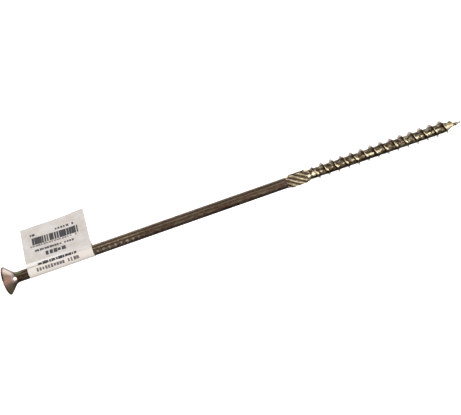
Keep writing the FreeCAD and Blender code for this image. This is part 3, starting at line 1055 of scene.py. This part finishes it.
@dataclass(frozen=True)
class Label:
    """One strip of paper, laid round the shank and stuck to itself as a flag, in its own millimetre frame."""

    left: float = 11.6
    width: float = 34.4
    fold: float = 5.0
    reach: float = 31.1
    slant: float = 0.9
    skew: float = 1.7
    lower_skew: float = 0.28
    wrap_skew: float = 0.55
    dip: float = 0.6
    radius: float = 2.815
    paper: float = 0.13
    columns: int = 46
    flag_steps: int = 28
    tent_steps: int = 8
    loop_steps: int = 32
    rise_steps: int = 6
    wave: float = 0.45
    ripple: float = 0.16
    swelling: Curve = ((0.0, 0.0), (0.4, 0.06), (2.4, 0.42), (9.0, 0.0))

    def path(self) -> list[tuple[float, float, Layer]]:
        """Makes the strip's line across the screw, from the upper layer's far edge round to the lower layer's.

        Returns:
            The y and z of each point, and its layer. Only the flag counts as upper or lower.
        """
        low = self.radius - self.paper
        outs = [self.reach - (self.reach - self.fold) * k / self.flag_steps for k in range(self.flag_steps)]
        loop = [(self.fold * (1 - k / self.tent_steps), self.radius) for k in range(self.tent_steps)]
        leave = atan2(low, self.fold) - acos(self.radius / hypot(self.fold, low))
        for k in range(self.loop_steps + 1):
            angle = pi / 2 + (1.5 * pi + leave) * k / self.loop_steps
            loop.append((self.radius * cos(angle), self.radius * sin(angle)))
        y, z = loop[-1]
        loop += [(y + (self.fold - y) * k / self.rise_steps, z + (low - z) * k / self.rise_steps)
                 for k in range(1, self.rise_steps)]
        return (
            [(out, self.radius, Layer.UPPER) for out in outs]
            + [(*spot, Layer.LOOP) for spot in loop]
            + [(out, low, Layer.LOWER) for out in (self.fold, *reversed(outs))]
        )

    def bend(self, across: float, y: float, lower: bool) -> float:
        """Finds how far the strip is lifted out of its plane.

        Args:
            across: The share of the width, from the head's side.
            y: The distance from the screw's axis.
            lower: Whether the place is on the lower half of the strip.

        Returns:
            The lift in millimetres.
        """
        out = max(y - self.fold, 0) / (self.reach - self.fold)
        swell = 0.5 + 0.5 * sin(5.2 * across + 0.6)
        lift = self.wave * out**1.6 * swell + self.ripple * sin(pi * out) * sin(3.0 * across + 2.0)
        if not lower and 0 < y < self.swelling[-1][0]:
            lift += eased(self.swelling, y) * (1 - 0.55 * across)
        return lift

    def point(self, across: float, y: float, z: float, layer: Layer, front: bool) -> Vector:
        """Finds where a point of the strip lies.

        Args:
            across: The share of the width, from the head's side.
            y: The distance from the screw's axis.
            z: The height above the axis.
            layer: The point's layer.
            front: Whether it is on the upper half of the strip.

        Returns:
            The point in the label's frame.
        """
        out = max(y, 0) / self.reach if front or layer is Layer.LOWER else 0.0
        x = self.left + self.width * across - self.skew * out
        if layer is Layer.LOWER:
            x -= self.lower_skew * out * (1 - across)
        x += self.wrap_skew * (1 - across) * (1 - min(max(y - 1, 0) / 6, 1))
        reached = y
        if y > self.fold:
            short = self.slant * (1 - across) + self.dip * sin(pi * min(across / 0.9, 1.0))
            reached = y - (y - self.fold) * short / (self.reach - self.fold)
        return Vector((x, reached, z + self.bend(across, y, lower=not front)))

    def sheet(self) -> tuple[bpy.types.Object, float]:
        """Makes the strip as a single skin with its flat size as UV.

        Returns:
            The strip, in its own millimetre frame, and its flat length.
        """
        line = self.path()
        lengths = [0.0]
        for a, b in zip(line, line[1:]):
            lengths.append(lengths[-1] + dist(a[:2], b[:2]))
        points, flat = [], []
        for number, ((y, z, layer), length) in enumerate(zip(line, lengths)):
            front = layer is not Layer.LOWER and number < len(line) / 2
            for k in range(self.columns + 1):
                across = k / self.columns
                points.append(self.point(across, y, z, layer, front))
                flat.append((across, length / lengths[-1]))
        row = self.columns + 1
        faces = [
            (i * row + k, i * row + k + 1, (i + 1) * row + k + 1, (i + 1) * row + k)
            for i in range(len(line) - 1) for k in range(self.columns)
        ]
        mesh = bpy.data.meshes.new("strip")
        mesh.from_pydata(points, [], faces)
        unrolled = mesh.uv_layers.new(name="strip")
        for loop in mesh.loops:
            unrolled.data[loop.index].uv = flat[loop.vertex_index]
        mesh.shade_smooth()
        return linked("strip", mesh), lengths[-1]

    def build(self, mottle: Tree, grain: Tree, rest: Rest) -> bpy.types.Object:
        """Makes the finished label.

        Args:
            mottle: The shared group for tone.
            grain: The shared group for fine height.
            rest: How the label lies.

        Returns:
            The finished piece.
        """
        sheet, length = self.sheet()
        thick = sheet.modifiers.new("paper", "SOLIDIFY")
        thick.thickness = self.paper
        thick.offset = 0.0
        rows = {mark: printed_row_group(mark) for mark in Mark}
        piece = plain_mesh("paper_label", sheet, rest.label())
        piece.data.set_sharp_from_angle(angle=radians(50))
        piece.data.materials.clear()
        piece.data.materials.append(PaperFinish(mottle, grain, rows, self.width, length, self.reach).material())
        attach(piece, "root")
        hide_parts("label")
        return piece


@dataclass(frozen=True)
class Studio:
    """The floor, the light and the camera."""

    floor_height: float = -7.3
    floor_size: float = 3.0
    elevation: float = radians(59)
    picture_turn: float = radians(19.34)
    distance: float = 427.9
    middle_along: float = 117.5
    middle_below: float = 2.37
    lens: float = 67.0
    lit_middle: Point = (0.12, 0.0, 0.0)
    lamps: tuple[tuple[str, Point, float, float], ...] = (
        ("key", (0.958, -1.24, 1.24), 0.95, 38.0), ("back", (-0.1, 0.9, 0.35), 0.7, 2.2),
    )

    def shown(self, build: Builder, surroundings: Wire, backdrop: Wire, output: str) -> None:
        """Ends a node tree with a shader that lights the screw and another that the camera sees."""
        seen = build.wire("ShaderNodeLightPath", output="Is Camera Ray")
        build.node(output, {"Surface": build.wire("ShaderNodeMixShader", {0: seen, 1: surroundings, 2: backdrop})})

    def floor(self) -> None:
        """Lays the pale floor. It shines only behind the screw, where a real table would mirror a bright wall."""
        half, z = self.floor_size / 2, self.floor_height * MM
        mesh = bpy.data.meshes.new("floor")
        mesh.from_pydata([(-half, -half, z), (half, -half, z), (half, half, z), (-half, half, z)], [], [(0, 1, 2, 3)])
        made, build = new_material("pale_floor")
        back = build.wire("ShaderNodeTexCoord", output="Object").parts()[1]
        sheens = []
        for colour, shine in (
            ((0.13, 0.125, 0.12, 1), back.ramp(0.003, 0.01, 0.0, 0.85, smooth=True)), ((0.85, 0.85, 0.85, 1), 0.75),
        ):
            matt = build.wire("ShaderNodeBsdfDiffuse", {"Color": colour})
            glow = build.wire("ShaderNodeEmission", {"Color": WHITE, "Strength": shine})
            sheens.append(build.wire("ShaderNodeAddShader", {0: matt, 1: glow}))
        self.shown(build, *sheens, "ShaderNodeOutputMaterial")
        mesh.materials.append(made)
        linked("floor", mesh)

    def world(self) -> None:
        """Makes the surroundings: bright low down behind the screw and at its ends, dim above and dark in front."""
        world = bpy.data.worlds.new("studio")
        world.use_nodes = True
        world.node_tree.nodes.clear()
        build = Builder(world.node_tree)
        x, y, z = build.wire("ShaderNodeTexCoord", output="Generated").parts()
        strength = z.ramp(0.2, 1.0, smooth=True) * 0.22 + 0.15
        for part, span, amount in ((y, (0.4, 0.7), 0.95), (x, (-0.95, -0.6, 1.0, 0.0), 0.9), (x, (0.75, 0.98), 0.35)):
            strength = part.ramp(*span, smooth=True) * amount + strength
        shades = [build.wire("ShaderNodeBackground", {"Color": WHITE, "Strength": light}) for light in (strength, 1.0)]
        self.shown(build, *shades, "ShaderNodeOutputWorld")
        bpy.context.scene.world = world

    def light(self) -> None:
        """Hangs the square soft lights, each with its place and size in metres and its power in watts."""
        for name, place, size, power in self.lamps:
            data = bpy.data.lights.new(name, "AREA")
            data.shape = "SQUARE"
            data.size = size
            data.energy = power
            lamp = linked(name, data)
            lamp.location = place
            lamp.rotation_mode = "QUATERNION"
            lamp.rotation_quaternion = (Vector(place) - Vector(self.lit_middle)).to_track_quat("Z", "Y")

    def camera(self, rest: Rest) -> None:
        """Sets the camera square to the screw's axis, from above and in front.

        Args:
            rest: How the screw lies.
        """
        turn = rest.screw().to_3x3() * (1 / MM)
        axis = turn @ Vector((1, 0, 0))
        up = turn @ Vector((0, sin(self.elevation), cos(self.elevation)))
        back = turn @ Vector((0, -cos(self.elevation), sin(self.elevation)))
        right = axis * cos(self.picture_turn) - up * sin(self.picture_turn)
        high = axis * sin(self.picture_turn) + up * cos(self.picture_turn)
        data = bpy.data.cameras.new("camera")
        data.lens = self.lens
        data.clip_start, data.clip_end = 0.01, 20.0
        spot = (axis * self.middle_along - up * self.middle_below + back * self.distance) * MM
        camera = linked("camera", data)
        camera.matrix_world = Matrix.Translation(spot) @ Matrix((right, high, back)).transposed().to_4x4()
        bpy.context.scene.camera = camera

    def build(self, rest: Rest) -> None:
        """Sets up the studio.

        Args:
            rest: How the screw lies.
        """
        self.floor()
        self.world()
        self.light()
        self.camera(rest)
        bpy.context.scene.view_settings.view_transform = "Standard"


def main() -> None:
    """Builds the screw, its label and the studio, and reports each piece."""
    logging.basicConfig(level=logging.INFO, format="%(message)s")
    rest = Rest()
    mottle, grain, streaks = mottle_group(), grain_group(), streak_group()
    for piece in (
        Screw().build(ZincFinish(mottle, grain, streaks), rest),
        Label().build(mottle, grain, rest),
    ):
        log.info("%s: %d faces", piece.name, len(piece.data.polygons))
    Studio().build(rest)


if __name__ == "__main__":
    main()
